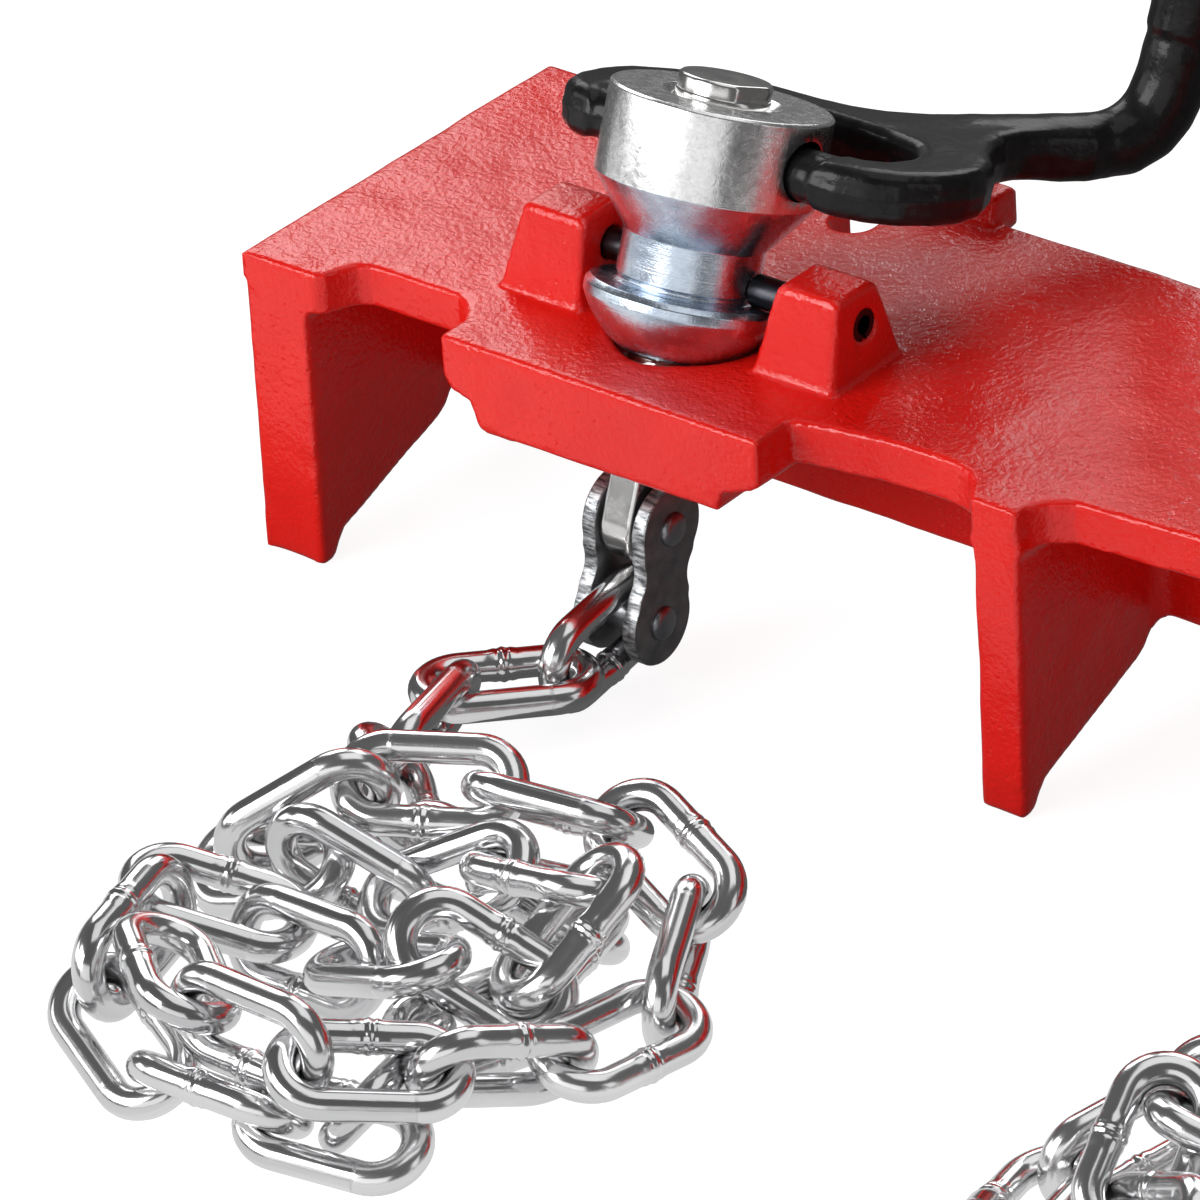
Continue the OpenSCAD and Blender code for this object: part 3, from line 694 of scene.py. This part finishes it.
def shackle(side, dx):
    for s, tag in ((-1, "a"), (1, "b")):
        # outline: two round ends and a waist
        zs = np.concatenate([-8.5 + 8.5 * (1 - np.cos(np.linspace(0, math.pi / 2, 14))), np.linspace(0, 18.8, 30)[1:-1], 18.8 + 8.5 * np.sin(np.linspace(0, math.pi / 2, 14))])
        w = []
        for z in zs:
            a = math.sqrt(max(0, 72.25 - z * z)) if abs(z) < 8.5 else 0
            b = math.sqrt(max(0, 72.25 - (z - 18.8) ** 2)) if abs(z - 18.8) < 8.5 else 0
            m = 7.6 if abs(z - 9.4) >= 6.2 else 12.6 - math.sqrt(6.2 ** 2 - (z - 9.4) ** 2)
            m = m if 0 < z < 18.8 else 0
            w.append(max(a, b, min(m, 7.6)))
        w = np.array(w)
        w = np.convolve(np.pad(w, 1, mode="edge"), [0.2, 0.6, 0.2], "valid")
        w[0] = w[-1] = 0.0
        ring = [(0, zs[0])] + [(w[i], zs[i]) for i in range(1, len(zs) - 1)] + [(0, zs[-1])] + [(-w[i], zs[i]) for i in range(len(zs) - 2, 0, -1)]
        k = len(ring)
        x0, x1 = s * 4.3, s * 7.5
        lo, hi = min(x0, x1), max(x0, x1)
        rows = []
        for x, ins in ((lo, 0.45), (lo + 0.1, 0.15), (lo + 0.4, 0.0), (hi - 0.4, 0.0), (hi - 0.1, 0.15), (hi, 0.45)):
            rows.append([(x, p[0] * (1 - ins / 8), 9.4 + (p[1] - 9.4) * (1 - ins / 17)) for p in ring])
        v = np.array([p for r in rows for p in r])
        f = [(i * k + t, i * k + (t + 1) % k, (i + 1) * k + (t + 1) % k, (i + 1) * k + t) for i in range(len(rows) - 1) for t in range(k)]
        f += [tuple(range(k - 1, -1, -1)), tuple(range((len(rows) - 1) * k, len(rows) * k))]
        o = make(side + "_plate_" + tag + "_sheared", on_shackle(v) + [dx, 0, 0], f, PLATE, side + "_shackle", angle=30)
        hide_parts(side + "_shackle_plate_" + tag)
    for z, tag in ((0, "tongue"), (18.8, "chain")):
        L = 8.9
        prof = [(0.01, -L - 0.05), (1.2, -L), (2.3, -L + 0.15), (3.0, -L + 0.45), (3.35, -L + 0.9), (3.4, -L + 1.2)]
        prof = prof + [(r, -h) for r, h in prof[::-1]]
        v, f = lathe(prof, 48)
        f = [q for q in f if not (q[0] // 48 == len(prof) - 1)]
        v = v[:, [2, 0, 1]] + [0, 0, z]
        n = len(v)
        v = np.concatenate([v, [[-L - 0.05, 0, z], [L + 0.05, 0, z]]])
        f += [((t + 1) % 48, t, n) for t in range(48)] + [((len(prof) - 1) * 48 + t, (len(prof) - 1) * 48 + (t + 1) % 48, n + 1) for t in range(48)]
        o = make(side + "_" + tag + "_pin_peened", on_shackle(v) + [dx, 0, 0], f, PIN, side + "_shackle", angle=45)
        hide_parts(side + "_" + tag + "_pin")


# ------------------------------------------------------------------ chain
WIRE, LINK, WIDE = 3.0, 37.0, 20.5


def link_mesh():
    """One welded link about its middle: long along x, 20.5 wide along y."""
    b, s = (WIDE - 6) / 2, (LINK - WIDE) / 2
    around, turns = 20, 22
    path = []
    for i in range(turns + 1):
        a = -math.pi / 2 + math.pi * i / turns
        path.append((s + b * math.cos(a), b * math.sin(a), math.cos(a), math.sin(a), s + b * (a + math.pi / 2), 0))
    side = np.concatenate([np.linspace(0.9, 0.2, 6), [0.16, 0.13, 0.1, 0.07, 0.04, 0.02, 0, -0.02, -0.04, -0.07, -0.1, -0.13, -0.16], np.linspace(-0.2, -0.9, 6)])
    for t in side:
        path.append((s * t, b, 0, 1, 0, 1))
    for i in range(turns + 1):
        a = math.pi / 2 + math.pi * i / turns
        path.append((-s + b * math.cos(a), b * math.sin(a), math.cos(a), math.sin(a), 0, 0))
    for t in np.linspace(-0.9, 0.9, 9):
        path.append((s * t, -b, 0, -1, 0, 0))
    k = len(path)
    run = 0.0
    v, uv = [], []
    for i, (x, y, nx, ny, _, weld) in enumerate(path):
        if i:
            run += math.hypot(x - path[i - 1][0], y - path[i - 1][1])
        r = WIRE
        if weld:
            r += 0.42 * math.exp(-((x / 0.75) ** 2)) + 0.22 * math.exp(-(((abs(x) - 1.6) / 0.5) ** 2))
        for j in range(around):
            c = 2 * math.pi * j / around
            v.append((x + nx * r * math.cos(c), y + ny * r * math.cos(c), r * math.sin(c)))
            uv.append((run * MM, (1 - math.cos(c)) * 1.2 * MM + (math.sin(c) * 3 * MM)))
    f = [(i * around + j, ((i + 1) % k) * around + j, ((i + 1) % k) * around + (j + 1) % around, i * around + (j + 1) % around) for i in range(k) for j in range(around)]
    return np.array(v), np.array(f), np.array(uv)


LV, LF, LUV = link_mesh()


def link_matrix(p, q, roll):
    """A link between two points, its middle half way, flat (0) or upright (90)."""
    p, q = np.array(p, float), np.array(q, float)
    d = q - p
    yaw = math.atan2(d[1], d[0])
    pitch = -math.atan2(d[2], math.hypot(d[0], d[1]))
    cy, sy, cp, sp = math.cos(yaw), math.sin(yaw), math.cos(pitch), math.sin(pitch)
    Rz = np.array([[cy, -sy, 0], [sy, cy, 0], [0, 0, 1]])
    Ry = np.array([[cp, 0, sp], [0, 1, 0], [-sp, 0, cp]])
    return Rz @ Ry @ rot_x(math.radians(roll)), (p + q) / 2


def links(name, poses, mirrored, body, node, flips=()):
    vs, fs, uvs = [], [], []
    n = len(LV)
    for i, (R, c) in enumerate(poses):
        base = LV * ([-1, -1, 1] if i in flips else [1, 1, 1])
        v = base @ R.T + c
        f = LF + i * n
        if mirrored:
            v = v * [-1, 1, 1] + [440, 0, 0]
            f = f[:, ::-1]
        vs.append(v)
        fs.append(f)
        uvs.append(LUV + [0.37 * i, 0.21 * i])
    o = make(name, np.concatenate(vs), np.concatenate(fs), ZINC, body, uv=np.concatenate(uvs))
    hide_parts(node)


FLOOR = -65.0
LOW = np.array([STATION, -21.7, FLOOR + 9.8])
CP = np.array([STATION, EYE[1] - 18.8 * math.sin(HANG), EYE[2] - 18.8 * math.cos(HANG)])
DIR = (LOW - CP) / np.linalg.norm(LOW - CP)
SA = np.array([STATION, -21.7, FLOOR + 10.4])
SB = SA + 18 * np.array([-0.716, -0.698, 0])


# where each loose link of the heap lies: its middle (x, y, height above the
# floor, mm) and its turn about z, then its tilt, then its roll (degrees)
HEAP = [
    (80.82, -48.57, 9.73, -78.1, 0.4, 67.7),
    (91.63, -69.21, 10.19, -42.6, 4.9, -46.4),
    (112.68, -78.84, 7.26, -2.7, -0.8, 34.3),
    (136.56, -82.01, 7.06, -12.2, -0.0, -33.6),
    (149.83, -95.99, 8.18, -83.0, 7.1, 34.8),
    (149.59, -118.89, 7.38, -104.1, -6.5, -28.0),
    (149.45, -142.15, 8.87, -80.5, -0.0, 53.3),
    (148.94, -156.62, 6.38, 14.7, 4.1, 22.2),
    (126.45, -160.32, 7.78, -176.4, -1.0, 39.2),
    (102.85, -158.32, 10.11, 158.6, -14.9, -28.6),
    (91.18, -141.28, 17.28, 101.0, -5.7, 79.0),
    (95.37, -123.38, 16.56, 28.1, 16.6, 12.8),
    (114.24, -121.53, 11.77, -1.2, -2.4, 68.4),
    (133.45, -122.32, 16.71, -7.4, -21.5, -0.9),
    (149.61, -115.69, 18.29, 18.0, 28.5, 38.6),
    (157.68, -101.42, 22.19, 79.9, -31.1, -19.3),
    (145.37, -91.8, 22.35, 173.0, 13.3, 28.0),
    (124.49, -94.38, 15.73, -152.0, 24.7, -24.8),
    (106.43, -99.22, 13.36, -169.4, -21.4, 86.1),
    (88.89, -101.7, 10.63, -174.3, 16.7, -37.2),
    (91.74, -94.32, 18.36, 41.0, -30.0, -78.4),
    (109.78, -80.94, 24.47, 26.2, -1.6, 36.3),
    (132.92, -73.16, 23.23, 13.0, 3.7, -40.8),
    (156.62, -72.44, 20.18, -15.1, 17.4, 33.5),
    (170.97, -87.71, 11.91, -65.3, 12.3, 87.5),
    (175.98, -110.62, 10.05, -99.8, -2.9, -15.3),
    (168.04, -133.18, 14.33, -112.8, -18.5, 63.8),
    (154.65, -152.57, 18.84, -137.4, -7.5, -22.1),
    (132.78, -157.92, 21.94, 178.1, 1.3, -85.3),
    (110.46, -151.62, 22.49, 142.3, 1.8, 25.5),
]


def turned(yaw, pitch, roll):
    y, p = math.radians(yaw), math.radians(pitch)
    Rz = np.array([[math.cos(y), -math.sin(y), 0], [math.sin(y), math.cos(y), 0], [0, 0, 1]])
    Ry = np.array([[math.cos(p), 0, math.sin(p)], [0, 1, 0], [-math.sin(p), 0, math.cos(p)]])
    return Rz @ Ry @ rot_x(math.radians(roll))


LOOSE = [(turned(a, b, c), np.array([x, y, z + FLOOR])) for x, y, z, a, b, c in HEAP]

for side, dx in (("left", 0.0), ("right", PITCH)):
    swivel_nut(side, dx)
    clamp_screw(side, dx)
    crank_handle(side, dx)
    shackle(side, dx)
    mir = side == "right"
    links(side + "_link_1_welded", [link_matrix(LOW - 31 * DIR, LOW, 90)], mir, side + "_link_1", side + "_first_link", flips=(0,))
    links(side + "_link_2_welded", [link_matrix(SA, SB, 0)], mir, side + "_link_2", side + "_second_link", flips=(0,))
    links(side + "_heap_welded", LOOSE, mir, side + "_loose_links", side + "_chain", flips=tuple(range(0, 30, 3)))
    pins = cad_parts[side + "_keeper_pins"]
    pins.data.materials.clear()
    pins.data.materials.append(BLACK_PIN)


# ------------------------------------------------------------------ stage
def stage_plane(name, size, place, material, normal=None):
    me = bpy.data.meshes.new(name)
    a, b = size[0] / 2, size[1] / 2
    me.from_pydata([(-a, -b, 0), (a, -b, 0), (a, b, 0), (-a, b, 0)], [], [(0, 1, 2, 3)])
    o = bpy.data.objects.new(name, me)
    bpy.context.collection.objects.link(o)
    o.location = place
    if normal is not None:
        o.rotation_mode = "QUATERNION"
        o.rotation_quaternion = Vector(normal).to_track_quat("Z", "Y")
    me.materials.append(material)
    return o


m, nt, p = new_material("pale_floor")
p.inputs["Base Color"].default_value = (0.30, 0.30, 0.30, 1)
p.inputs["Roughness"].default_value = 0.9
p.inputs["Specular IOR Level"].default_value = 0.0
p.inputs["Emission Color"].default_value = (1, 1, 1, 1)
p.inputs["Emission Strength"].default_value = 0.9
floor = stage_plane("floor", (6, 6), (0, 0, -0.0002), m)
floor.visible_glossy = False
floor.visible_diffuse = False

# a bright sheet before the frame, seen only in reflections and as bounced light
m, nt, p = new_material("front_sheet")
p.inputs["Base Color"].default_value = (0.05, 0.05, 0.05, 1)
p.inputs["Specular IOR Level"].default_value = 0.0
p.inputs["Emission Color"].default_value = (1, 1, 1, 1)
p.inputs["Emission Strength"].default_value = 0.75
sheet = stage_plane("front_sheet", (2.0, 1.2), (-0.55, -0.63, -0.0001), m)
sheet.visible_camera = False

world = bpy.data.worlds.new("studio")
bpy.context.scene.world = world
world.use_nodes = True
bg = world.node_tree.nodes["Background"]
bg.inputs["Color"].default_value = (1, 1, 1, 1)
bg.inputs["Strength"].default_value = 0.12


def area(name, place, target, size, power, spread=180):
    d = bpy.data.lights.new(name, "AREA")
    d.shape = "RECTANGLE"
    d.size, d.size_y = size
    d.energy = power
    d.spread = math.radians(spread)
    o = bpy.data.objects.new(name, d)
    bpy.context.collection.objects.link(o)
    o.location = place
    o.rotation_mode = "QUATERNION"
    o.rotation_quaternion = (Vector(place) - Vector(target)).to_track_quat("Z", "Y")
    return o


FWD = Vector((-0.5553, 0.6609, -0.5048))
RIGHT = Vector((0.7829, 0.6202, -0.0492))
UPV = Vector((-0.2805, 0.4226, 0.8618))
centre = Vector((-0.113, 0.0178, 0.06))
back = Vector((-0.643, 0.766, 0)).normalized()
side_dir = Vector((0.766, 0.643, 0))
# key from the front left, a wide top light, and two panels behind that the plate mirrors
area("key", (-0.75, -1.4, 0.85), centre, (1.1, 0.9), 20)
area("left", (-1.4, -0.75, 0.42), centre, (0.75, 0.5), 2.2)
area("front", (0.35, -1.45, 0.42), centre, (1.7, 0.75), 3.6)
area("top", (0.15, 0.35, 1.6), centre, (1.5, 1.1), 4.5)
area("fill_right", (1.5, 0.1, 0.55), centre, (0.5, 1.0), 1.2)
area("back_left", tuple(centre + back * 1.15 - side_dir * 0.33 + Vector((0, 0, 0.74))), centre, (0.62, 0.75), 4.5)
area("back_right", tuple(centre + back * 1.15 + side_dir * 0.52 + Vector((0, 0, 0.78))), centre, (0.75, 1.0), 5.0)

cam = bpy.data.cameras.new("camera")
cam.sensor_fit = "HORIZONTAL"
cam.sensor_width = 36
cam.lens = 255.4
cam.clip_start = 0.05
co = bpy.data.objects.new("camera", cam)
bpy.context.collection.objects.link(co)
rot = Matrix((RIGHT, UPV, -FWD)).transposed()
co.matrix_world = Matrix.Translation((0.7546, -1.0511, 0.8245)) @ rot.to_4x4()
bpy.context.scene.camera = co
bpy.context.scene.view_settings.view_transform = "Standard"
bpy.context.scene.cycles.use_denoising = True

bpy.context.view_layer.update()
